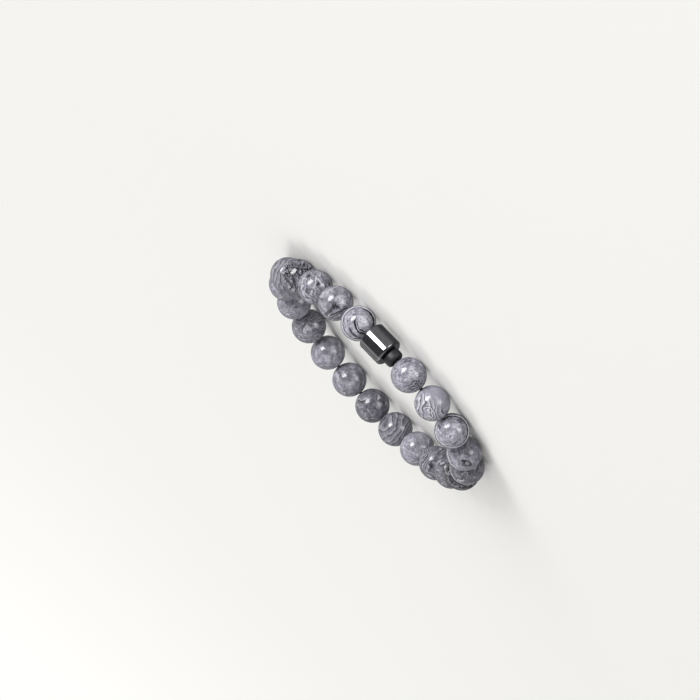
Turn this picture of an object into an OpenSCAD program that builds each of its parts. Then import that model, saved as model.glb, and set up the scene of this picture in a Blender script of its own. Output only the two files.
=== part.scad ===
// Stretch bracelet: round map stone beads and one dark barrel bead on an elastic thread.
// The loop lies on its side, bottom on Z = 0, with the barrel in the front, on the -Y side.
// Beads are numbered round the loop from the barrel, anticlockwise as seen from above.

/* [Stone beads] */
// Diameter of each round stone bead
bead_d = 8; // [6:0.1:10]
// Diameter of the bore through every bead
bore_d = 1; // [0.9:0.05:1.4]
// Width of the chamfer round each mouth of a bore
bore_chamfer = 0.15; // [0.05:0.05:0.25]

/* [Barrel and spacer] */
// Diameter of the barrel bead
barrel_d = 6.8; // [5:0.1:7.8]
// Length of the barrel bead
barrel_length = 6.4; // [4:0.1:9]
// Width of the chamfer round each end of the barrel bead
barrel_chamfer = 0.35; // [0.2:0.05:1.2]
// Diameter of the small spacer bead beside the barrel
spacer_d = 4.2; // [3:0.1:5]
// Length of the spacer bead
spacer_length = 2.2; // [1.4:0.1:3]
// Radius on the rim edges of the spacer bead
spacer_rounding = 0.6; // [0.2:0.1:0.6]

/* [Loop] */
// Diameter of the elastic thread
thread_d = 0.8; // [0.4:0.05:0.8]
// Clearance between neighbours on the thread
neighbour_gap = 0.1; // [0.1:0.05:0.4]
// Depth of the oval loop as a part of its width
loop_depth_share = 0.816; // [0.78:0.004:1]
// How much flatter the front of the loop is than a true oval
front_flatness = 0.115; // [0:0.005:0.13]
// Way along the loop from the middle of the front to the barrel and spacer
barrel_offset = 9.5; // [0:0.1:14]

/* [Hidden] */

bead_count = 21;
// Facets on round faces and sides on the thread
$fn = 64;
thread_sides = 8;
// The stone runs from pale to dark grey, so neighbours differ in tone
stone_tones = ["#9496a0", "#7f828d", "#8d8c95", "#6d6f7a", "#858792"];

// Way along the loop from one bead's centre to the next, and from end to end
// of the straight stretch that the barrel and the spacer share
bead_pitch = bead_d + neighbour_gap;
straight_length = barrel_length + neighbour_gap + spacer_length;
loop_length = bead_count * bead_pitch + straight_length + neighbour_gap;

// The loop's shape at unit width: an oval whose front half is pressed flatter
function oval(angle) =
    [cos(angle), loop_depth_share * sin(angle) * (1 + front_flatness * sin(angle))];

// Way along the unit oval at every degree, and the true loop's half width
oval_steps = 360;
oval_marks = [
    for (step = 0, run = 0;
        step <= oval_steps;
        step = step + 1, run = run + norm(oval(step) - oval(step - 1))) [run, step]
];
half_width = loop_length / oval_marks[oval_steps][0];

// Point and heading on the loop, as seen from above, at a way along it from the
// middle of the front
front_angle = 270;
front_way = half_width * oval_marks[front_angle][0];
function wrapped(way) = way - loop_length * floor(way / loop_length);
function angle_at(way) = lookup(wrapped(way + front_way) / half_width, oval_marks);
function point_at(way) = half_width * oval(angle_at(way));
function heading_at(way) =
    let (nearby = 0.5, step = point_at(way + nearby) - point_at(way - nearby))
    atan2(step.y, step.x);

// Each bead's way along the loop, counted from the straight stretch
function bead_way(place) =
    (straight_length + neighbour_gap) / 2 + (place - 0.5) * bead_pitch - barrel_offset;

// Ways of the two pieces on the straight stretch, which share its heading
straight_heading = heading_at(-barrel_offset);
straight_centre = point_at(-barrel_offset);
barrel_shift = (straight_length - barrel_length) / 2;
spacer_shift = (spacer_length - straight_length) / 2;

// The thread's stations in order: a centre, a heading and the bore's half length
bore_mouth = sqrt(pow(bead_d / 2, 2) - pow(bore_d / 2, 2));
function along(heading) = [cos(heading), sin(heading)];
function straight_station(shift, length) =
    [straight_centre + shift * along(straight_heading), straight_heading, length / 2];
function bead_station(place) =
    [point_at(bead_way(place)), heading_at(bead_way(place)), bore_mouth];
barrel_station = straight_station(barrel_shift, barrel_length);
spacer_station = straight_station(spacer_shift, spacer_length);
stations = [
    spacer_station,
    barrel_station,
    for (place = [1 : bead_count]) bead_station(place)
];

// The origin is under the middle of the bracelet's box, on the surface it lies on
bead_centres = [for (place = [1 : bead_count]) bead_station(place)[0]];
bead_xs = [for (centre = bead_centres) centre.x];
bead_ys = [for (centre = bead_centres) centre.y];
middle = [(min(bead_xs) + max(bead_xs)) / 2, (min(bead_ys) + max(bead_ys)) / 2];
axis_height = bead_d / 2;

// Stands a piece made along +Z at its station, its axis along the thread
module at_station(station) {
    translate([station[0].x - middle.x, station[0].y - middle.y, axis_height])
        rotate([0, 90, station[1]])
            children();
}

// Bore through a bead of the given half length, with a chamfer at each mouth
module bore(half_length) {
    cylinder(d = bore_d, h = 2 * half_length + bead_d, center = true);
    for (turn = [0, 180])
        rotate([turn, 0, 0])
            translate([0, 0, half_length - bore_chamfer])
                cylinder(
                    h = 2 * bore_chamfer,
                    r1 = bore_d / 2,
                    r2 = bore_d / 2 + 2 * bore_chamfer
                );
}

module stone_bead(place) {
    color(stone_tones[place % len(stone_tones)])
        at_station(bead_station(place))
            difference() {
                sphere(d = bead_d);
                bore(bore_mouth);
            }
}

// Half section of the barrel bead, with its end edges cut back at 45 degrees
module barrel_section() {
    end = barrel_length / 2;
    outside = barrel_d / 2;
    polygon([
        [0, -end],
        [outside - barrel_chamfer, -end],
        [outside, barrel_chamfer - end],
        [outside, end - barrel_chamfer],
        [outside - barrel_chamfer, end],
        [0, end]
    ]);
}

module barrel_bead() {
    color("#26262b")
        at_station(barrel_station)
            difference() {
                rotate_extrude() barrel_section();
                bore(barrel_length / 2);
            }
}

// Half section of the spacer bead, with its rim edges rounded
module spacer_section() {
    end = spacer_length / 2;
    outside = spacer_d / 2;
    translate([0, -end])
        square([outside - spacer_rounding, spacer_length]);
    translate([0, spacer_rounding - end])
        square([outside, spacer_length - 2 * spacer_rounding]);
    for (side = [-1, 1])
        translate([outside - spacer_rounding, side * (end - spacer_rounding)])
            circle(r = spacer_rounding);
}

module spacer_bead() {
    color("#2f2d31")
        at_station(spacer_station)
            difference() {
                rotate_extrude() spacer_section();
                bore(spacer_length / 2);
            }
}

// Closed thread: straight through every bore, bending in the gaps between pieces
module elastic_thread() {
    mouths = [
        for (station = stations)
            for (end = [-1, 1])
                [station[0] + end * station[2] * along(station[1]), station[1]]
    ];
    ring_count = len(mouths);
    turn = 360 / thread_sides;
    points = [
        for (mouth = mouths)
            for (side = [0 : thread_sides - 1])
                let (across = along(mouth[1] + 90) * thread_d / 2 * cos(side * turn))
                [
                    mouth[0].x - middle.x + across.x,
                    mouth[0].y - middle.y + across.y,
                    axis_height + thread_d / 2 * sin(side * turn)
                ]
    ];
    faces = [
        for (ring = [0 : ring_count - 1])
            for (side = [0 : thread_sides - 1])
                let (
                    next_side = (side + 1) % thread_sides,
                    this_ring = ring * thread_sides,
                    next_ring = (ring + 1) % ring_count * thread_sides,
                    near = this_ring + side,
                    near_next = this_ring + next_side,
                    far = next_ring + side,
                    far_next = next_ring + next_side
                )
                each [[near, far, far_next], [near, far_next, near_next]]
    ];
    color("#2b2b2e")
        polyhedron(points = points, faces = faces);
}

for (place = [1 : bead_count])
    stone_bead(place);
barrel_bead();
spacer_bead();
elastic_thread();
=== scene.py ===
import math

import bmesh
import bpy
from mathutils import Matrix, Vector


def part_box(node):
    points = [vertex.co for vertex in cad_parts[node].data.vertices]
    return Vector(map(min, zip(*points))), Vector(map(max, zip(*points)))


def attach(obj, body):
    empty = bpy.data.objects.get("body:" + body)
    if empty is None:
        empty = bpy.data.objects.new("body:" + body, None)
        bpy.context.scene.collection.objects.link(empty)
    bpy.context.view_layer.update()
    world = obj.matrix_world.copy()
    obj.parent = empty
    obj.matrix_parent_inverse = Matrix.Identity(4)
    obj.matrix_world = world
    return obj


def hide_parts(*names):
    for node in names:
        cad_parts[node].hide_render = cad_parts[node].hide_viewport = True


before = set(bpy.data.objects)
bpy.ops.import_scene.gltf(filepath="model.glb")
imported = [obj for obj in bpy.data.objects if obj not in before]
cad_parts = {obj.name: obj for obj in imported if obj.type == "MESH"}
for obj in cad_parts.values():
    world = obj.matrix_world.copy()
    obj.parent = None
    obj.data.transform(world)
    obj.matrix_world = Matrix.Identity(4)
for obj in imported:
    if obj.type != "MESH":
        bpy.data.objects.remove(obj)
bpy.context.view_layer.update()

mm = 0.001


# Small helpers

def linearColour(hexCode):
    def channel(at):
        value = int(hexCode[at:at + 2], 16) / 255
        return value / 12.92 if value <= 0.04045 else ((value + 0.055) / 1.055) ** 2.4
    return (channel(1), channel(3), channel(5), 1.0)


def addNode(tree, kind, settings=None, inputs=None):        # an input is a value, a socket or a node
    made = tree.nodes.new(kind)
    for key, value in (settings or {}).items():
        if key == "stops":        # place and colour along a ramp
            ramp = made.color_ramp.elements
            while len(ramp) < len(value):
                ramp.new(0.5)
            for element, (spot, colour) in zip(ramp, value):        # a colour is a hex value or a grey
                element.position = spot
                element.color = linearColour(colour) if isinstance(colour, str) else (colour,) * 3 + (1,)
        else:
            setattr(made, key, value)
    for key, value in (inputs or {}).items():
        if isinstance(value, bpy.types.Node):
            tree.links.new(value.outputs[0], made.inputs[key])
        elif isinstance(value, bpy.types.NodeSocket):
            tree.links.new(value, made.inputs[key])
        else:
            made.inputs[key].default_value = linearColour(value) if isinstance(value, str) else value
    return made


def newMaterial(name):
    material = bpy.data.materials.new(name)
    material.use_nodes = True
    material.node_tree.nodes.clear()
    return material, material.node_tree


def deselectAll():
    if bpy.context.object and bpy.context.object.mode != "OBJECT":
        bpy.ops.object.mode_set(mode="OBJECT")
    bpy.ops.object.select_all(action="DESELECT")


def selectInEdit(piece, kind, wanted):        # kind is VERT, EDGE or FACE
    bpy.ops.mesh.select_mode(type=kind)
    bpy.ops.mesh.select_all(action="DESELECT")
    form = bmesh.from_edit_mesh(piece.data)
    parts = {"VERT": form.verts, "EDGE": form.edges, "FACE": form.faces}[kind]
    for part in parts:
        if wanted(part):
            part.select_set(True)
    form.select_flush_mode()
    bmesh.update_edit_mesh(piece.data)


def startEdit(piece):
    bpy.context.view_layer.objects.active = piece
    piece.select_set(True)
    bpy.ops.object.mode_set(mode="EDIT")


def endEdit(piece, angle):        # degrees, past which an edge stays sharp
    bpy.ops.mesh.select_all(action="SELECT")
    bpy.ops.mesh.normals_make_consistent(inside=False)
    bpy.ops.object.mode_set(mode="OBJECT")
    bpy.ops.object.shade_smooth_by_angle(angle=math.radians(angle))


def applyModifier(piece, kind, settings):
    bpy.context.view_layer.objects.active = piece
    modifier = piece.modifiers.new(kind.title(), kind)
    for key, value in settings.items():
        setattr(modifier, key, value)
    bpy.ops.object.modifier_apply(modifier=modifier.name)


def dropInPlace(piece):        # puts the object at the origin, with its place in its mesh
    deselectAll()
    piece.select_set(True)
    bpy.context.view_layer.objects.active = piece
    bpy.ops.object.transform_apply(location=True, rotation=True, scale=True)


def isRim(edge, radius, height, slack=0.02 * mm):        # of a round edge at either end
    first, second = (v.co for v in edge.verts)
    return abs(first.z - second.z) < slack and all(
        abs(math.hypot(co.x, co.y) - radius) < slack and abs(abs(co.z) - height) < slack
        for co in (first, second)
    )


# Where each piece is strung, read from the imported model

beadNames = ["bead_%02d" % place for place in range(1, 22)]
strung = ["spacer_bead", "barrel_bead"] + beadNames        # in order round the thread


def middleOf(nodeName):
    low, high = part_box(nodeName)
    return (low + high) / 2


def radiusOf(nodeName):        # the thread lies level, so a bead's height is its diameter
    low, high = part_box(nodeName)
    return (high.z - low.z) / 2


centres = {name: middleOf(name) for name in strung}
beadRadius = radiusOf("bead_01")
barrelRadius = radiusOf("barrel_bead")
spacerRadius = radiusOf("spacer_bead")
hiddenBeads = beadNames[5:15]        # the photo shows little or nothing of these


def threadAxis(name):
    if name in ("spacer_bead", "barrel_bead"):        # these two share one straight stretch
        return (centres["barrel_bead"] - centres["spacer_bead"]).normalized()
    at = strung.index(name)
    ahead = strung[(at + 1) % len(strung)]
    return (centres[ahead] - centres[strung[at - 1]]).normalized()


def strungTurn(axis, roll):        # a piece made along +Z, laid along the thread and rolled on it
    return axis.to_track_quat("Z", "Y").to_matrix().to_4x4() @ Matrix.Rotation(roll, 4, "Z")


def direction(azimuth, elevation):        # azimuth 0 is in front of the bracelet
    azimuth, elevation = math.radians(azimuth), math.radians(elevation)
    return Vector((
        math.sin(azimuth) * math.cos(elevation), -math.cos(azimuth) * math.cos(elevation),
        math.sin(elevation),
    ))


def finishPiece(piece, nodeName, material):        # dresses it and lets it stand for its CAD node
    piece.data.materials.clear()
    piece.data.materials.append(material)
    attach(piece, "root")
    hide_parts(nodeName)


print("frame read:", len(strung), "pieces on the thread")


# The side that the photo shows: the camera looks at it, and the marks on the stones are placed
# on it. Its turn has the axes right, up and outwards

shownSide = {
    "azimuth": -30.89,
    "elevation": 11.51,
    "roll": 229.83,        # the photo has the bracelet slanting down to the right
}
cameraLook = {
    "distance": 1.0,
    "lens": 227.46,        # mm, on a 36 mm frame
    "aim": Vector((8.20, -3.82, 4.59)) * mm,
}
outwards = direction(shownSide["azimuth"], shownSide["elevation"])
shownTurn = outwards.to_track_quat("Z", "Y").to_matrix() @ Matrix.Rotation(
    math.radians(shownSide["roll"]), 3, "Z"
)


def makeCamera():
    data = bpy.data.cameras.new("camera")
    data.sensor_width = 36
    data.lens = cameraLook["lens"]
    data.clip_start = 0.01
    data.clip_end = 50
    camera = bpy.data.objects.new("camera", data)
    bpy.context.collection.objects.link(camera)
    spot = cameraLook["aim"] + outwards * cameraLook["distance"]
    camera.matrix_world = Matrix.Translation(spot) @ shownTurn.to_4x4()
    bpy.context.scene.camera = camera
    print("camera placed")


def faceTurn(name):        # the face of a bead that its marks are placed on
    if name not in hiddenBeads:
        return shownTurn
    axis = threadAxis(name)        # the hidden beads have theirs outside the loop
    return Matrix((axis, (0, 0, 1), axis.cross(Vector((0, 0, 1))))).transposed()


# Map stone, a grey jasper, tumbled and polished: silt beds folded into wavy dark and white
# seams like the lines of a map, under a close polish that gives small bright highlights.
# Sizes are in millimetres. A mark's place is across the face of the bead, in radii, with x to
# the right and y up, and its lean is the angle of its lines there, in degrees from the right.
# Rings and stripes are lines, and blots and grains are patches with a ragged edge

stoneCommon = {
    "black": "#1c1b20",
    "dark": "#36353c",
    "dull": "#67666f",
    "mid": "#86858f",
    "pale": "#a4a2ad",
    "white": "#cac9d1",
    "light": 1.0,        # how pale the whole bead is
    "fold": 1.6,        # how far the beds are folded
    "crinkle": 0.35,        # how far a seam wanders
    "centre": None,        # where rings of seams have their middle; None gives beds side by side
    "lean": 60,
    "spacing": 1.3,        # from one seam to the next
    "swirl": 2.0,        # seams that a fold pushes together
    "seamShare": 0.5,        # part of the bead that shows seams
    "seamAt": None,        # place and reach of the patch that shows them; None is all over
    "seamStrength": 0.9,
    "mottle": 0.6,
    "veins": 0.35,
    "grains": 0.15,
    "markWander": 0.45,        # how far the lines of a mark stray
    "patchFade": 0.5,        # over which the edge of a blot or of grains fades
    "marks": [],
}
stoneLooks = {
    "ringed": {
        "light": 1.16, "seamShare": 0.15, "mottle": 0.62, "veins": 0.25, "grains": 0.35,
        "marks": [
            # Partly white stone grain and partly a painted highlight: this pale patch sits where a soft
            # second highlight falls
            {"kind": "grains", "at": (0.36, 0.06), "reach": 1.9, "ragged": 1.6, "tone": "white",
             "share": 0.45},
            {"kind": "ring", "at": (0.0, 0.0), "radius": 4.42, "width": 0.25, "tone": "white",
             "share": 0.7},
            {"kind": "ring", "at": (0.0, 0.0), "radius": 3.98, "width": 0.20, "tone": "black",
             "share": 0.8},
            {"kind": "ring", "at": (0.0, 0.0), "radius": 3.85, "width": 0.40, "tone": "black",
             "arcAt": (0.8, 0.2), "arcReach": 3.6},
            {"kind": "ring", "at": (0.41, 0.02), "radius": 3.74, "width": 0.34, "tone": "dark",
             "arcAt": (-0.25, -0.62), "arcReach": 1.9},
            {"kind": "ring", "at": (0.41, 0.02), "radius": 2.47, "width": 0.25, "tone": "black",
             "arcAt": (0.0, -0.35), "arcReach": 2.9},
            {"kind": "ring", "at": (0.41, 0.02), "radius": 1.95, "width": 0.15, "tone": "black",
             "arcAt": (0.05, -0.30), "arcReach": 1.9},
            {"kind": "blot", "at": (-0.26, 0.5), "reach": 0.5, "ragged": 0.3, "tone": "dark"},
            {"kind": "blot", "at": (-0.62, 0.1), "reach": 0.4, "ragged": 0.3, "tone": "dark"},
        ],
    },
    "banded": {
        "light": 0.94, "lean": 40, "spacing": 2.2, "swirl": 0.8, "seamShare": 0.3,
        "seamStrength": 0.6, "mottle": 0.35,
        "marks": [
            {"kind": "stripe", "at": (-0.30, -0.42), "lean": 42, "width": 0.62, "reach": 2.6,
             "tone": "dark", "share": 0.8},
            {"kind": "stripe", "at": (0.10, -0.52), "lean": 26, "width": 0.20, "reach": 2.8,
             "tone": "dark"},
            {"kind": "stripe", "at": (-0.05, -0.70), "lean": 30, "width": 0.14, "reach": 2.4,
             "tone": "black", "share": 0.7},
            {"kind": "stripe", "at": (-0.30, 0.75), "lean": 25, "width": 0.16, "reach": 2.6,
             "tone": "white", "share": 0.5},
            {"kind": "blot", "at": (0.02, -0.14), "reach": 1.1, "ragged": 0.6, "tone": "black",
             "share": 0.85},
            # Partly white stone grain and partly a painted highlight: this pale patch sits where a soft
            # second highlight falls
            {"kind": "grains", "at": (0.36, 0.10), "reach": 1.9, "ragged": 1.8, "tone": "white",
             "share": 0.45},
        ],
    },
    "netted": {
        "light": 0.89, "lean": 125, "spacing": 1.15, "swirl": 2.6, "fold": 1.7, "crinkle": 0.35,
        "seamShare": 0.72, "seamStrength": 0.55, "veins": 0.5, "mottle": 0.8,
        "marks": [
            {"kind": "stripe", "at": (0.01, 0.28), "lean": 76, "width": 0.15, "reach": 1.6,
             "tone": "white", "share": 0.75},
            {"kind": "stripe", "at": (0.30, 0.24), "lean": 128, "width": 0.15, "reach": 1.7,
             "tone": "white", "share": 0.75},
            {"kind": "ring", "at": (0.30, 0.05), "radius": 4.5, "width": 0.17, "tone": "white",
             "share": 0.75, "arcAt": (-0.8, 0.0), "arcReach": 3.2},
            {"kind": "blot", "at": (0.16, 0.12), "reach": 0.7, "ragged": 0.4, "tone": "black"},
            {"kind": "blot", "at": (-0.35, 0.62), "reach": 0.8, "ragged": 0.5, "tone": "dark"},
        ],
    },
    "grained": {
        "light": 0.70, "lean": 70, "spacing": 0.85, "swirl": 2.2, "fold": 1.4, "crinkle": 0.3,
        "seamShare": 0.65, "seamStrength": 0.75, "mottle": 0.85, "veins": 0.5,
        "marks": [
            {"kind": "grains", "at": (-0.42, 0.38), "reach": 2.2, "ragged": 0.8, "tone": "black"},
            {"kind": "grains", "at": (0.35, 0.32), "reach": 2.2, "ragged": 0.8, "tone": "black"},
            {"kind": "stripe", "at": (-0.55, -0.30), "lean": 128, "width": 0.34, "reach": 1.8,
             "tone": "dark", "share": 0.8},
            {"kind": "stripe", "at": (-0.22, -0.42), "lean": 112, "width": 0.26, "reach": 1.6,
             "tone": "dark", "share": 0.8},
            {"kind": "stripe", "at": (-0.38, -0.62), "lean": 60, "width": 0.22, "reach": 1.2,
             "tone": "black", "share": 0.7},
        ],
    },
    "striped": {
        "light": 0.74, "centre": (0.75, -0.35), "spacing": 0.75, "swirl": 0.4, "crinkle": 0.12,
        "fold": 0.9, "seamShare": 0.9, "seamStrength": 0.5, "mottle": 0.35,
    },
    "mottled": {
        "light": 1.23, "lean": 60, "spacing": 1.1, "swirl": 2.6, "crinkle": 0.5, "seamShare": 0.25,
        "seamStrength": 0.6, "mottle": 0.85, "veins": 0.45,
        "marks": [
            {"kind": "grains", "at": (0.35, -0.55), "reach": 2.1, "ragged": 0.8, "tone": "dark"},
            {"kind": "grains", "at": (-0.1, 0.85), "reach": 1.4, "ragged": 0.6, "tone": "dark"},
            # Partly white stone grain and partly a painted highlight: this pale patch sits where a soft
            # second highlight falls
            {"kind": "grains", "at": (0.30, 0.15), "reach": 1.6, "ragged": 1.6, "tone": "white",
             "share": 0.3},
        ],
    },
    "mapped": {
        "light": 1.07, "lean": 92, "spacing": 1.05, "swirl": 1.2, "crinkle": 0.2, "seamShare": 0.85,
        "seamAt": {"at": (-0.25, -0.45), "reach": 4.4}, "seamStrength": 0.7, "mottle": 0.3,
        "veins": 0.1, "grains": 0.0,
        "marks": [
            {"kind": "blot", "at": (0.48, 0.50), "reach": 3.4, "ragged": 0.5, "tone": "mid",
             "share": 0.7},
            {"kind": "ring", "at": (-0.27, -0.42), "radius": 1.0, "width": 0.34, "tone": "black",
             "arcAt": (-0.16, -0.1), "arcReach": 1.7},
            {"kind": "stripe", "at": (-0.04, -0.72), "lean": 96, "width": 0.34, "reach": 1.3,
             "tone": "black"},
            {"kind": "ring", "at": (-0.27, -0.42), "radius": 1.0, "width": 0.16, "tone": "white",
             "arcAt": (-0.16, -0.1), "arcReach": 1.8},
            {"kind": "stripe", "at": (-0.04, -0.72), "lean": 96, "width": 0.16, "reach": 1.4,
             "tone": "white"},
        ],
    },
    "haloed": {
        "light": 1.17, "lean": 20, "spacing": 1.5, "swirl": 2.2, "seamShare": 0.25, "mottle": 0.8,
        "grains": 0.3,
        "marks": [
            {"kind": "ring", "at": (0.0, -0.05), "radius": 4.72, "width": 0.17, "tone": "dark"},
            {"kind": "ring", "at": (0.0, -0.05), "radius": 4.33, "width": 0.18, "tone": "white"},
            {"kind": "ring", "at": (0.0, -0.05), "radius": 3.93, "width": 0.24, "tone": "black",
             "arcAt": (0.7, 0.5), "arcReach": 5.4},
            {"kind": "blot", "at": (0.45, 0.62), "reach": 1.2, "ragged": 0.8, "tone": "dark",
             "share": 0.8},
            {"kind": "blot", "at": (-0.67, -0.24), "reach": 0.5, "ragged": 0.3, "tone": "dark",
             "share": 0.8},
        ],
    },
    "smoky": {
        "light": 1.02, "lean": 15, "spacing": 1.6, "swirl": 1.2, "seamShare": 0.25,
        "seamStrength": 0.5, "mottle": 0.75,
        "marks": [
            {"kind": "blot", "at": (0.09, -0.53), "reach": 1.0, "ragged": 1.6, "tone": "black"},
            {"kind": "blot", "at": (0.23, -0.56), "reach": 1.0, "ragged": 1.6, "tone": "black"},
            {"kind": "blot", "at": (0.18, -0.55), "reach": 0.64, "ragged": 1.6, "tone": "mid"},
            {"kind": "blot", "at": (0.2, 0.15), "reach": 1.3, "ragged": 1.8, "tone": "dark",
             "share": 0.5},
            # Painted reflection: a thin white line along the lower-left rim, where the room above is
            # mirrored at the edge
            {"kind": "ring", "at": (0.1, 0.05), "radius": 4.9, "width": 0.16, "tone": "white",
             "arcAt": (-0.75, -0.5), "arcReach": 3.2},
        ],
    },
    "slate": {
        "light": 0.60, "lean": 170, "spacing": 1.9, "swirl": 1.6, "seamShare": 0.45,
        "seamStrength": 0.6, "mottle": 0.5, "white": "#f4f3f8",
        "marks": [
            # Painted reflection: a thin white line along the lower-left rim, drawn in this look's
            # brighter white, where the room above is mirrored at the edge
            {"kind": "ring", "at": (0.0, 0.0), "radius": 4.75, "width": 0.17, "tone": "white",
             "arcAt": (-0.6, -0.7), "arcReach": 3.6},
        ],
    },
    "inkyAndShaded": {
        # Darker all over, partly the stone's own dark tone and partly painted shade: lightness and greys
        # lowered to stand in for shadow on this bead
        "light": 0.42, "lean": 150, "spacing": 1.3, "swirl": 2.2, "seamShare": 0.7, "veins": 0.6,
        "grains": 0.5, "dull": "#2f2e33", "mid": "#46454c", "pale": "#66656e",
        "marks": [
            # Painted reflection: a thin white line along the lower-left rim, where the room above is
            # mirrored at the edge
            {"kind": "ring", "at": (0.1, 0.1), "radius": 4.6, "width": 0.17, "tone": "white",
             "arcAt": (-0.5, -0.8), "arcReach": 3.0},
        ],
    },
}


def stoneMaterial(name, at, look):
    material, tree = newMaterial("polished_map_stone_%02d" % (at + 1))
    face = faceTurn(name)
    ballRadius = beadRadius / mm

    def faceSpot(spot):        # a place across the face, as a place on the ball in mm
        x, y = spot
        return face @ Vector((x, y, math.sqrt(max(0, 1 - x * x - y * y)))) * ballRadius

    def acrossLines(lean):        # the direction that crosses lines of this lean
        lean = math.radians(lean)
        return face @ Vector((-math.sin(lean), math.cos(lean), 0))

    place = addNode(tree, "ShaderNodeTexCoord")
    local = addNode(tree, "ShaderNodeMapping", {"vector_type": "TEXTURE"}, {
        "Vector": place.outputs["Object"], "Location": centres[name], "Scale": (mm, mm, mm),
    })
    own = addNode(tree, "ShaderNodeVectorMath", {"operation": "ADD"}, {
        0: local, 1: (at * 13.7, at * 5.1, 0),        # each bead is cut from another spot, in mm
    })

    def pushed(scale, detail, reach, start):        # a place moved by a noise, up to reach
        field = addNode(tree, "ShaderNodeTexNoise", None, {
            "Vector": own, "Scale": scale, "Detail": detail,
        })
        centred = addNode(tree, "ShaderNodeVectorMath", {"operation": "SUBTRACT"}, {
            0: field.outputs["Color"], 1: (0.5, 0.5, 0.5),
        })
        step = addNode(tree, "ShaderNodeVectorMath", {"operation": "SCALE"}, {
            0: centred, "Scale": reach * 2,
        })
        return addNode(tree, "ShaderNodeVectorMath", {"operation": "ADD"}, {0: start, 1: step})

    folded = pushed(0.28, 1.0, look["fold"], local)        # folds of about 3.6 mm
    wavy = pushed(1.1, 3.0, look["crinkle"], folded)        # crinkles of about 0.9 mm on them
    marked = pushed(0.8, 3.0, look["markWander"], local)        # no folds, so marks stay in place

    def keptNear(share, spot, reach):        # a share that fades out at a reach from a spot
        away = addNode(tree, "ShaderNodeVectorMath", {"operation": "DISTANCE"}, {
            0: marked, 1: faceSpot(spot),
        })
        near = addNode(tree, "ShaderNodeMapRange", None, {
            "Value": away.outputs["Value"], "From Min": reach, "From Max": reach * 0.8,
        })
        return addNode(tree, "ShaderNodeMath", {"operation": "MULTIPLY"}, {0: share, 1: near})

    # Ground in clouds of about 1.8 mm, from dull to pale, with silt clots in it
    clouds = addNode(tree, "ShaderNodeTexNoise", None, {
        "Vector": wavy, "Scale": 0.55, "Detail": 5.0, "Roughness": 0.62,
    })
    spread = 0.05 + 0.16 * look["mottle"]
    ground = addNode(tree, "ShaderNodeValToRGB", {"stops": [
        (0.5 - spread * 1.3, look["dull"]), (0.5, look["mid"]), (0.5 + spread, look["pale"]),
    ]}, {"Fac": clouds})
    flecks = addNode(tree, "ShaderNodeTexNoise", None, {        # silt clots of about 0.5 mm
        "Vector": own, "Scale": 1.9, "Detail": 3.0, "Roughness": 0.6,
    })
    clot = addNode(tree, "ShaderNodeMapRange", None, {
        "Value": flecks, "From Min": 0.34, "From Max": 0.66,
        "To Min": 1 - 0.5 * look["mottle"], "To Max": 1 + 0.42 * look["mottle"],
    })
    stone = addNode(tree, "ShaderNodeVectorMath", {"operation": "SCALE"}, {
        0: ground.outputs["Color"], "Scale": clot,
    })

    # Seams: a thin dark line beside a white one, over and over across the folded beds, pushed
    # together by swirls of about 3 mm and broken off in patches of about 2.4 mm
    if look["centre"]:
        beds = addNode(tree, "ShaderNodeVectorMath", {"operation": "DISTANCE"}, {
            0: wavy, 1: faceSpot(look["centre"]),
        }).outputs["Value"]
    else:
        beds = addNode(tree, "ShaderNodeVectorMath", {"operation": "DOT_PRODUCT"}, {
            0: wavy, 1: acrossLines(look["lean"]),
        }).outputs["Value"]
    count = addNode(tree, "ShaderNodeMath", {"operation": "DIVIDE"}, {0: beds, 1: look["spacing"]})
    swirl = addNode(tree, "ShaderNodeTexNoise", None, {"Vector": wavy, "Scale": 0.32, "Detail": 2.0})
    swept = addNode(tree, "ShaderNodeMath", {"operation": "MULTIPLY_ADD"}, {
        0: swirl, 1: look["swirl"] * 2, 2: count,
    })
    seam = addNode(tree, "ShaderNodeMath", {"operation": "FRACT"}, {0: swept})
    seamTone = addNode(tree, "ShaderNodeValToRGB", {"stops": [
        (0.00, look["black"]), (0.10, look["black"]), (0.17, look["white"]), (0.36, look["white"]),
        (0.46, look["mid"]), (0.62, look["pale"]), (0.76, look["mid"]), (0.88, look["dull"]),
        (0.95, look["dark"]),
    ]}, {"Fac": seam})
    broken = addNode(tree, "ShaderNodeTexNoise", None, {"Vector": wavy, "Scale": 0.42, "Detail": 2.0})
    edge = 0.70 - 0.40 * look["seamShare"]
    seamShare = addNode(tree, "ShaderNodeMapRange", None, {
        "Value": broken, "From Min": edge - 0.04, "From Max": edge + 0.04,
        "To Max": look["seamStrength"],
    })
    if look["seamAt"]:
        seamShare = keptNear(seamShare, look["seamAt"]["at"], look["seamAt"]["reach"])
    stone = addNode(tree, "ShaderNodeMix", {"data_type": "RGBA"}, {
        0: seamShare, 6: stone, 7: seamTone,
    }).outputs[2]

    # Thin dark veins, in a net with openings of about 1.2 mm
    net = addNode(tree, "ShaderNodeTexNoise", None, {
        "Vector": wavy, "Scale": 0.8, "Detail": 4.0, "Roughness": 0.55,
    })
    ridge = addNode(tree, "ShaderNodeMath", {"operation": "SUBTRACT"}, {0: net, 1: 0.5})
    ridge = addNode(tree, "ShaderNodeMath", {"operation": "ABSOLUTE"}, {0: ridge})
    vein = addNode(tree, "ShaderNodeMapRange", None, {
        "Value": ridge, "From Min": 0.030, "From Max": 0.008, "To Max": look["veins"],
    })
    stone = addNode(tree, "ShaderNodeMix", {"data_type": "RGBA"}, {
        0: vein, 6: stone, 7: look["dark"],
    }).outputs[2]

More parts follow.
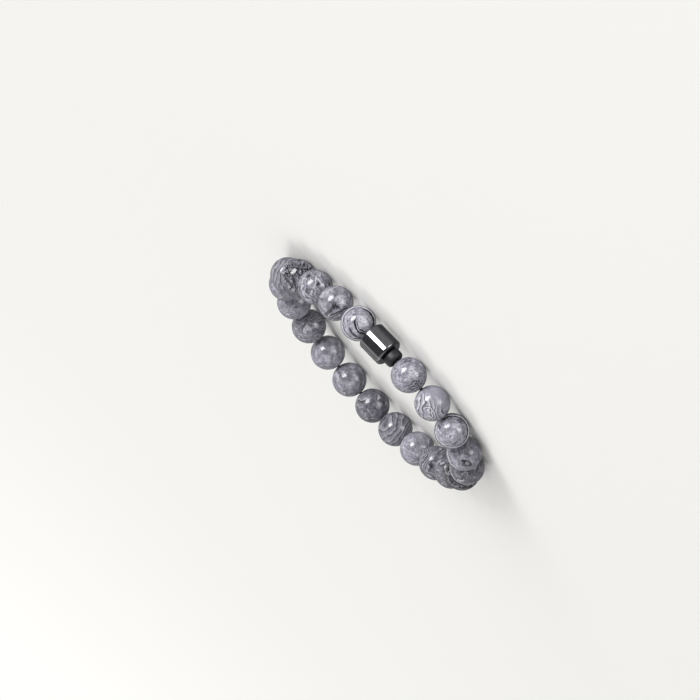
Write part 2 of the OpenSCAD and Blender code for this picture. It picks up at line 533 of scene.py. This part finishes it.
    # Black mineral grains of about 0.4 mm, thick inside the grained marks and thin elsewhere
    grain = addNode(tree, "ShaderNodeTexNoise", None, {
        "Vector": marked, "Scale": 2.8, "Detail": 5.0, "Roughness": 0.62,
    })
    sparse = addNode(tree, "ShaderNodeMapRange", None, {
        "Value": grain, "From Min": 0.59, "From Max": 0.68, "To Max": look["grains"],
    })
    stone = addNode(tree, "ShaderNodeMix", {"data_type": "RGBA"}, {
        0: sparse, 6: stone, 7: look["black"],
    }).outputs[2]

    def markShare(mark):        # how far a mark covers the stone
        if mark["kind"] == "stripe":
            offset = addNode(tree, "ShaderNodeVectorMath", {"operation": "SUBTRACT"}, {
                0: marked, 1: faceSpot(mark["at"]),
            })
            span = addNode(tree, "ShaderNodeVectorMath", {"operation": "DOT_PRODUCT"}, {
                0: offset, 1: acrossLines(mark["lean"]),
            }).outputs["Value"]
        else:
            span = addNode(tree, "ShaderNodeVectorMath", {"operation": "DISTANCE"}, {
                0: marked, 1: faceSpot(mark["at"]),
            }).outputs["Value"]
        if mark["kind"] in ("ring", "stripe"):
            offLine = addNode(tree, "ShaderNodeMath", {"operation": "SUBTRACT"}, {
                0: span, 1: mark.get("radius", 0.0),
            })
            span = addNode(tree, "ShaderNodeMath", {"operation": "ABSOLUTE"}, {0: offLine})
            outer = mark["width"]
            inner = outer / 2
        else:
            span = addNode(tree, "ShaderNodeMath", {"operation": "MULTIPLY_ADD"}, {
                0: net, 1: -2 * mark["ragged"], 2: span,
            })
            outer = mark["reach"] - mark["ragged"]
            inner = outer - look["patchFade"]
        share = addNode(tree, "ShaderNodeMapRange", None, {
            "Value": span, "From Min": outer, "From Max": inner, "To Max": mark.get("share", 1.0),
        })
        if mark["kind"] == "stripe":
            share = keptNear(share, mark["at"], mark["reach"])
        if "arcAt" in mark:        # only this stretch of the ring shows
            share = keptNear(share, mark["arcAt"], mark["arcReach"])
        if mark["kind"] == "grains":
            thick = addNode(tree, "ShaderNodeMapRange", None, {
                "Value": grain, "From Min": 0.45, "From Max": 0.54,
            })
            share = addNode(tree, "ShaderNodeMath", {"operation": "MULTIPLY"}, {0: share, 1: thick})
        return share

    # Marks that single beads have, each laid over the last; some white grain patches are partly painted
    # highlights, and the white lines along the lower-left rim are painted reflections
    for mark in look["marks"]:
        stone = addNode(tree, "ShaderNodeMix", {"data_type": "RGBA"}, {
            0: markShare(mark), 6: stone, 7: look[mark["tone"]],
        }).outputs[2]

    # Silt grain, much finer in life, drawn at 0.15 mm so that it shows
    silt = addNode(tree, "ShaderNodeTexNoise", None, {
        "Vector": own, "Scale": 6.5, "Detail": 3.0, "Roughness": 0.65,
    })
    dust = addNode(tree, "ShaderNodeMapRange", None, {
        "Value": silt, "From Min": 0.3, "From Max": 0.7,
        "To Min": 0.82 * look["light"], "To Max": 1.10 * look["light"],
    })
    stone = addNode(tree, "ShaderNodeVectorMath", {"operation": "SCALE"}, {0: stone, "Scale": dust})

    polish = addNode(tree, "ShaderNodeMapRange", None, {        # dark seams take less polish
        "Value": vein, "To Min": 0.14, "To Max": 0.22,
    })
    relief = addNode(tree, "ShaderNodeMath", {"operation": "ADD"}, {0: vein, 1: sparse})
    bump = addNode(tree, "ShaderNodeBump", {"invert": True}, {
        "Height": relief, "Strength": 0.1, "Distance": 0.02 * mm,
    })
    shader = addNode(tree, "ShaderNodeBsdfPrincipled", None, {
        "Base Color": stone, "Roughness": polish, "Normal": bump, "IOR": 1.54,
    })
    addNode(tree, "ShaderNodeOutputMaterial", None, {"Surface": shader})
    return material


# Hematite, ground and polished to a mirror: near black, with strong cold reflections

hematiteLook = {
    "low": "#17171b",
    "high": "#222228",
    "polish": (0.025, 0.06),        # roughness, from the clearest to the haziest spots
}


def hematiteMaterial():
    material, tree = newMaterial("polished_hematite_stone")
    place = addNode(tree, "ShaderNodeTexCoord")
    haze = addNode(tree, "ShaderNodeTexNoise", None, {        # polishing haze, about 1 mm across
        "Vector": place.outputs["Object"], "Scale": 900.0, "Detail": 3.0,
    })
    gloss = addNode(tree, "ShaderNodeMapRange", None, {
        "Value": haze, "To Min": hematiteLook["polish"][0], "To Max": hematiteLook["polish"][1],
    })
    tone = addNode(tree, "ShaderNodeValToRGB", {"stops": [
        (0.35, hematiteLook["low"]), (0.65, hematiteLook["high"]),
    ]}, {"Fac": haze})
    shader = addNode(tree, "ShaderNodeBsdfPrincipled", None, {
        "Base Color": tone, "Roughness": gloss, "IOR": 2.7,
    })
    addNode(tree, "ShaderNodeOutputMaterial", None, {"Surface": shader})
    return material


# Black onyx, tumbled but left matt: near black, with a dim broad glow instead of a mirror

def onyxMaterial():
    material, tree = newMaterial("matt_tumbled_onyx")
    place = addNode(tree, "ShaderNodeTexCoord")
    pits = addNode(tree, "ShaderNodeTexNoise", None, {        # tumbling pits, drawn coarse at 0.2 mm
        "Vector": place.outputs["Object"], "Scale": 4500.0, "Detail": 3.0,
    })
    tone = addNode(tree, "ShaderNodeValToRGB", {"stops": [(0.3, "#121215"), (0.7, "#2a2a2f")]}, {
        "Fac": pits,
    })
    bump = addNode(tree, "ShaderNodeBump", None, {
        "Height": pits, "Strength": 0.35, "Distance": 0.03 * mm,
    })
    shader = addNode(tree, "ShaderNodeBsdfPrincipled", None, {
        "Base Color": tone, "Normal": bump, "Roughness": 0.48, "IOR": 1.54,
    })
    addNode(tree, "ShaderNodeOutputMaterial", None, {"Surface": shader})
    return material


# Elastic, drawn polyurethane fibre in charcoal: satin, with a faint fibrous grain

def elasticMaterial():
    material, tree = newMaterial("drawn_charcoal_elastic")
    place = addNode(tree, "ShaderNodeTexCoord")
    fibres = addNode(tree, "ShaderNodeTexNoise", None, {        # finer in life, drawn at 0.17 mm
        "Vector": place.outputs["Object"], "Scale": 6000.0, "Detail": 2.0,
    })
    tone = addNode(tree, "ShaderNodeValToRGB", {"stops": [(0.3, "#202023"), (0.7, "#34343a")]}, {
        "Fac": fibres,
    })
    bump = addNode(tree, "ShaderNodeBump", None, {
        "Height": fibres, "Strength": 0.3, "Distance": 0.02 * mm,
    })
    shader = addNode(tree, "ShaderNodeBsdfPrincipled", None, {
        "Base Color": tone, "Normal": bump, "Roughness": 0.5,
    })
    addNode(tree, "ShaderNodeOutputMaterial", None, {"Surface": shader})
    return material


# Round beads: one is modelled, and each place on the thread takes a copy

beadShape = {
    "boreRadius": 0.5 * mm,
    "mouthRounding": 0.14 * mm,
    "segments": 72,
    "rings": 50,        # puts a ring of points at the bore's radius
    "unevenness": 0.03 * mm,        # how far the polish leaves the surface off a true ball
    "unevennessSize": 3 * mm,
}


def makeBeadBlank():
    deselectAll()
    bpy.ops.mesh.primitive_uv_sphere_add(
        segments=beadShape["segments"], ring_count=beadShape["rings"], radius=beadRadius
    )
    blank = bpy.context.object
    blank.name = "beadBlank"
    startEdit(blank)
    insideBore = beadShape["boreRadius"] * 0.8
    selectInEdit(blank, "VERT", lambda v: math.hypot(v.co.x, v.co.y) < insideBore)
    bpy.ops.mesh.delete(type="VERT")        # opens both ends of the bore
    bpy.ops.mesh.select_mode(type="EDGE")
    bpy.ops.mesh.select_non_manifold()
    bpy.ops.mesh.bridge_edge_loops(number_cuts=2)        # the bore's wall
    mouthRadius = min(math.hypot(v.co.x, v.co.y) for v in bmesh.from_edit_mesh(blank.data).verts)
    mouthHeight = math.sqrt(beadRadius ** 2 - mouthRadius ** 2)
    selectInEdit(blank, "EDGE", lambda e: isRim(e, mouthRadius, mouthHeight))
    bpy.ops.mesh.bevel(offset=beadShape["mouthRounding"], segments=3, affect="EDGES")
    endEdit(blank, 60)
    texture = bpy.data.textures.new("polishWaves", "CLOUDS")
    texture.noise_scale = beadShape["unevennessSize"]
    applyModifier(blank, "DISPLACE", {        # only inwards, so neighbours never meet
        "texture": texture, "texture_coords": "LOCAL",
        "strength": beadShape["unevenness"], "mid_level": 1.0,
    })
    return blank


beadStones = [        # which look each bead has, in order round the thread
    "ringed", "banded", "netted", "grained", "striped", "smoky", "mottled", "netted", "mapped",
    "banded", "slate", "striped", "ringed", "grained", "slate", "inkyAndShaded", "slate", "smoky",
    "haloed", "mapped", "mottled",
]


def stringBead(blank, name):
    at = beadNames.index(name)
    piece = blank.copy()
    piece.data = blank.data.copy()
    piece.name = piece.data.name = "stone_" + name
    bpy.context.collection.objects.link(piece)
    goldenAngle = math.radians(137.5)        # neighbours then aren't uneven in the same places
    turn = strungTurn(threadAxis(name), at * goldenAngle)
    piece.matrix_world = Matrix.Translation(centres[name]) @ turn
    dropInPlace(piece)
    look = {**stoneCommon, **stoneLooks[beadStones[at]]}
    finishPiece(piece, name, stoneMaterial(name, at, look))


def makeBeads():
    blank = makeBeadBlank()
    for name in beadNames:
        stringBead(blank, name)
    bpy.data.objects.remove(blank)
    print("beads strung:", len(beadNames))


# Barrel bead and spacer bead

barrelShape = {
    "length": 6.4 * mm,
    "chamfer": 0.35 * mm,
    "edgeRounding": 0.14 * mm,
    "boreRadius": 0.5 * mm,
    "sides": 96,
}
spacerShape = {
    "length": 2.2 * mm,
    "rimRounding": 0.6 * mm,
    "mouthRounding": 0.1 * mm,
    "boreRadius": 0.5 * mm,
    "sides": 64,
}


def turnedBlank(name, radius, shape):        # a cylinder bored through along its axis
    deselectAll()
    bpy.ops.mesh.primitive_cylinder_add(
        vertices=shape["sides"], radius=radius, depth=shape["length"], end_fill_type="NGON"
    )
    piece = bpy.context.object
    piece.name = piece.data.name = name
    startEdit(piece)
    selectInEdit(piece, "FACE", lambda f: abs(f.normal.z) > 0.9)
    bpy.ops.mesh.inset(thickness=radius - shape["boreRadius"], use_even_offset=True)
    selectInEdit(piece, "FACE", lambda f: abs(f.normal.z) > 0.9 and len(f.verts) > 4)
    bpy.ops.mesh.delete(type="FACE")        # opens both ends of the bore
    bpy.ops.mesh.select_mode(type="EDGE")
    bpy.ops.mesh.select_non_manifold()
    bpy.ops.mesh.bridge_edge_loops()        # the bore's wall
    return piece


def bevelRims(piece, radius, height, width, segments):
    selectInEdit(piece, "EDGE", lambda e: isRim(e, radius, height))
    bpy.ops.mesh.bevel(offset=width, segments=segments, affect="EDGES", profile=0.5)


def layOnThread(piece, name, material):        # closes the edit of a turned piece and places it
    endEdit(piece, 30)
    applyModifier(piece, "WEIGHTED_NORMAL", {"keep_sharp": True, "thresh": 0.0})
    piece.matrix_world = Matrix.Translation(centres[name]) @ strungTurn(threadAxis(name), 0)
    dropInPlace(piece)
    finishPiece(piece, name, material)


def makeBarrel():
    half = barrelShape["length"] / 2
    piece = turnedBlank("hematite_barrel", barrelRadius, barrelShape)
    bevelRims(piece, barrelShape["boreRadius"], half, barrelShape["edgeRounding"], 3)
    bevelRims(piece, barrelRadius, half, barrelShape["chamfer"], 1)
    for radius, height in (
        (barrelRadius, half - barrelShape["chamfer"]), (barrelRadius - barrelShape["chamfer"], half)
    ):
        bevelRims(piece, radius, height, barrelShape["edgeRounding"], 4)
    layOnThread(piece, "barrel_bead", hematiteMaterial())
    print("barrel bead turned")


def makeSpacer():
    half = spacerShape["length"] / 2
    piece = turnedBlank("onyx_spacer", spacerRadius, spacerShape)
    bevelRims(piece, spacerShape["boreRadius"], half, spacerShape["mouthRounding"], 3)
    bevelRims(piece, spacerRadius, half, spacerShape["rimRounding"], 8)
    layOnThread(piece, "spacer_bead", onyxMaterial())
    print("spacer bead turned")


# Elastic thread: straight through each bore, bending only in the gaps

threadShape = {"radius": 0.4 * mm, "sides": 16}


def makeThread():
    reach = {name: math.sqrt(beadRadius ** 2 - beadShape["boreRadius"] ** 2) for name in beadNames}
    reach["barrel_bead"] = barrelShape["length"] / 2
    reach["spacer_bead"] = spacerShape["length"] / 2
    path = []
    for name in strung:
        for end in (-1, 1):
            path.append(centres[name] + end * reach[name] * threadAxis(name))
    curve = bpy.data.curves.new("threadPath", "CURVE")
    curve.dimensions = "3D"
    curve.bevel_depth = threadShape["radius"]
    curve.bevel_resolution = threadShape["sides"] // 4 - 1
    spline = curve.splines.new("POLY")
    spline.points.add(len(path) - 1)
    for point, spot in zip(spline.points, path):
        point.co = (*spot, 1)
    spline.use_cyclic_u = True
    piece = bpy.data.objects.new("elastic_thread_loop", curve)
    bpy.context.collection.objects.link(piece)
    deselectAll()
    piece.select_set(True)
    bpy.context.view_layer.objects.active = piece
    bpy.ops.object.convert(target="MESH")
    piece = bpy.context.object
    bpy.ops.object.shade_smooth()
    finishPiece(piece, "elastic_thread", elasticMaterial())
    length = sum((path[at] - path[at - 1]).length for at in range(len(path)))
    print("thread length, mm:", round(length / mm, 1))


# Floor and light

stageLook = {
    "floorSize": 12.0,        # m, wide enough for the floor to fill a low view
    "floorColour": "#f0efec",
    "roomForShade": 0.58,        # strength of the even light from all round
}
roomForGloss = {        # greys that the polish mirrors, from the front of the room to the back
    "above": [(0.49, 0.09), (0.51, 0.90), (0.75, 0.46), (0.92, 0.25), (1.0, 0.20)],
    "below": [(0.20, 0.45), (0.36, 0.20), (0.57, 0.11), (0.86, 0.16), (1.0, 0.20)],
}
reflectorCards = [        # small cards that only the polish sees; a hollow one is a ring
    {"azimuth": -58, "elevation": -30, "halfWidth": 12, "edge": 9, "hollow": 0, "strength": 7.0},
    {"azimuth": -140, "elevation": 39, "halfWidth": 10, "edge": 2, "hollow": 0, "strength": 1.2},
    {"azimuth": -172, "elevation": 50, "halfWidth": 6, "edge": 3, "hollow": 0, "strength": 3.5},
    {"azimuth": 149, "elevation": -11, "halfWidth": 44.5, "edge": 0.7, "hollow": 41.5,
     "strength": 1.6},
]
softboxes = [
    {"name": "keySoftbox", "azimuth": 17, "elevation": 11, "roll": -10, "distance": 2.0,
     "width": 0.86, "height": 1.42, "power": 46, "inGloss": True},
    {"name": "fillSoftbox", "azimuth": -20, "elevation": 4, "roll": 0, "distance": 2.0,
     "width": 1.5, "height": 0.9, "power": 13, "inGloss": False},
    {"name": "rearSoftbox", "azimuth": 165, "elevation": 40, "roll": 0, "distance": 2.0,
     "width": 0.8, "height": 0.8, "power": 14, "inGloss": False},
]


def makeFloor():
    deselectAll()
    bpy.ops.mesh.primitive_plane_add(size=stageLook["floorSize"])
    floor = bpy.context.object
    floor.name = "floor"
    material, tree = newMaterial("matt_paper_sweep")
    place = addNode(tree, "ShaderNodeTexCoord")
    tooth = addNode(tree, "ShaderNodeTexNoise", None, {        # paper tooth, drawn coarse at 1 mm
        "Vector": place.outputs["Object"], "Scale": 900.0, "Detail": 3.0,
    })
    bump = addNode(tree, "ShaderNodeBump", None, {
        "Height": tooth, "Strength": 0.05, "Distance": 0.1 * mm,
    })
    shader = addNode(tree, "ShaderNodeBsdfPrincipled", None, {
        "Base Color": stageLook["floorColour"], "Normal": bump, "Roughness": 0.9,
        "Specular IOR Level": 0.1,
    })
    addNode(tree, "ShaderNodeOutputMaterial", None, {"Surface": shader})
    floor.data.materials.append(material)
    floor.visible_glossy = False        # the polish mirrors the studio instead, as in the photo
    print("floor laid")


def makeWorld():
    world = bpy.data.worlds.new("studio")
    bpy.context.scene.world = world
    world.use_nodes = True
    tree = world.node_tree
    tree.nodes.clear()
    rays = addNode(tree, "ShaderNodeLightPath")
    even = addNode(tree, "ShaderNodeBackground", None, {
        "Color": (1, 1, 1, 1), "Strength": stageLook["roomForShade"],
    })
    facing = addNode(tree, "ShaderNodeTexCoord").outputs["Generated"]
    parts = addNode(tree, "ShaderNodeSeparateXYZ", None, {"Vector": facing})
    depth = addNode(tree, "ShaderNodeMapRange", None, {        # 0 ahead of the bracelet, 1 behind it
        "Value": parts.outputs["Y"], "From Min": -1.0,
    })
    ceiling = addNode(tree, "ShaderNodeValToRGB", {"stops": roomForGloss["above"]}, {"Fac": depth})
    ground = addNode(tree, "ShaderNodeValToRGB", {"stops": roomForGloss["below"]}, {"Fac": depth})
    above = addNode(tree, "ShaderNodeMapRange", None, {        # a soft horizon
        "Value": parts.outputs["Z"], "From Min": -0.04, "From Max": 0.04,
    })
    glow = addNode(tree, "ShaderNodeMix", {"data_type": "RGBA"}, {
        0: above, 6: ground, 7: ceiling,
    }).outputs[2]
    for card in reflectorCards:
        turned = addNode(tree, "ShaderNodeVectorMath", {"operation": "DOT_PRODUCT"}, {
            0: facing, 1: direction(card["azimuth"], card["elevation"]),
        })
        angle = addNode(tree, "ShaderNodeMath", {"operation": "ARCCOSINE"}, {0: turned.outputs["Value"]})
        degrees = addNode(tree, "ShaderNodeMath", {"operation": "DEGREES"}, {0: angle})
        lit = addNode(tree, "ShaderNodeMapRange", None, {
            "Value": degrees, "From Min": card["halfWidth"] + card["edge"],
            "From Max": card["halfWidth"] - card["edge"], "To Max": card["strength"],
        })
        if card["hollow"]:
            inside = addNode(tree, "ShaderNodeMapRange", None, {
                "Value": degrees, "From Min": card["hollow"] - card["edge"],
                "From Max": card["hollow"] + card["edge"],
            })
            lit = addNode(tree, "ShaderNodeMath", {"operation": "MULTIPLY"}, {0: lit, 1: inside})
            lit = addNode(tree, "ShaderNodeMath", {"operation": "MULTIPLY"}, {0: lit, 1: above})
        glow = addNode(tree, "ShaderNodeVectorMath", {"operation": "ADD"}, {0: glow, 1: lit})
    mirrored = addNode(tree, "ShaderNodeBackground", None, {"Color": glow})
    both = addNode(tree, "ShaderNodeMixShader", None, {
        0: rays.outputs["Is Glossy Ray"], 1: even, 2: mirrored,
    })
    addNode(tree, "ShaderNodeOutputWorld", None, {"Surface": both})
    print("room lit, with reflector cards:", len(reflectorCards))


def makeLights():
    for look in softboxes:
        data = bpy.data.lights.new(look["name"], "AREA")
        data.shape = "ELLIPSE"
        data.size = look["width"]
        data.size_y = look["height"]
        data.energy = look["power"]
        lamp = bpy.data.objects.new(look["name"], data)
        lamp.visible_glossy = look["inGloss"]
        bpy.context.collection.objects.link(lamp)
        back = direction(look["azimuth"], look["elevation"])
        upright = back.to_track_quat("Z", "Y").to_matrix().to_4x4()
        rolled = upright @ Matrix.Rotation(math.radians(look["roll"]), 4, "Z")
        lamp.matrix_world = Matrix.Translation(back * look["distance"]) @ rolled
    print("softboxes hung:", len(softboxes))


makeCamera()
makeBeads()
makeBarrel()
makeSpacer()
makeThread()
makeFloor()
makeWorld()
makeLights()
bpy.context.scene.view_settings.view_transform = "Standard"
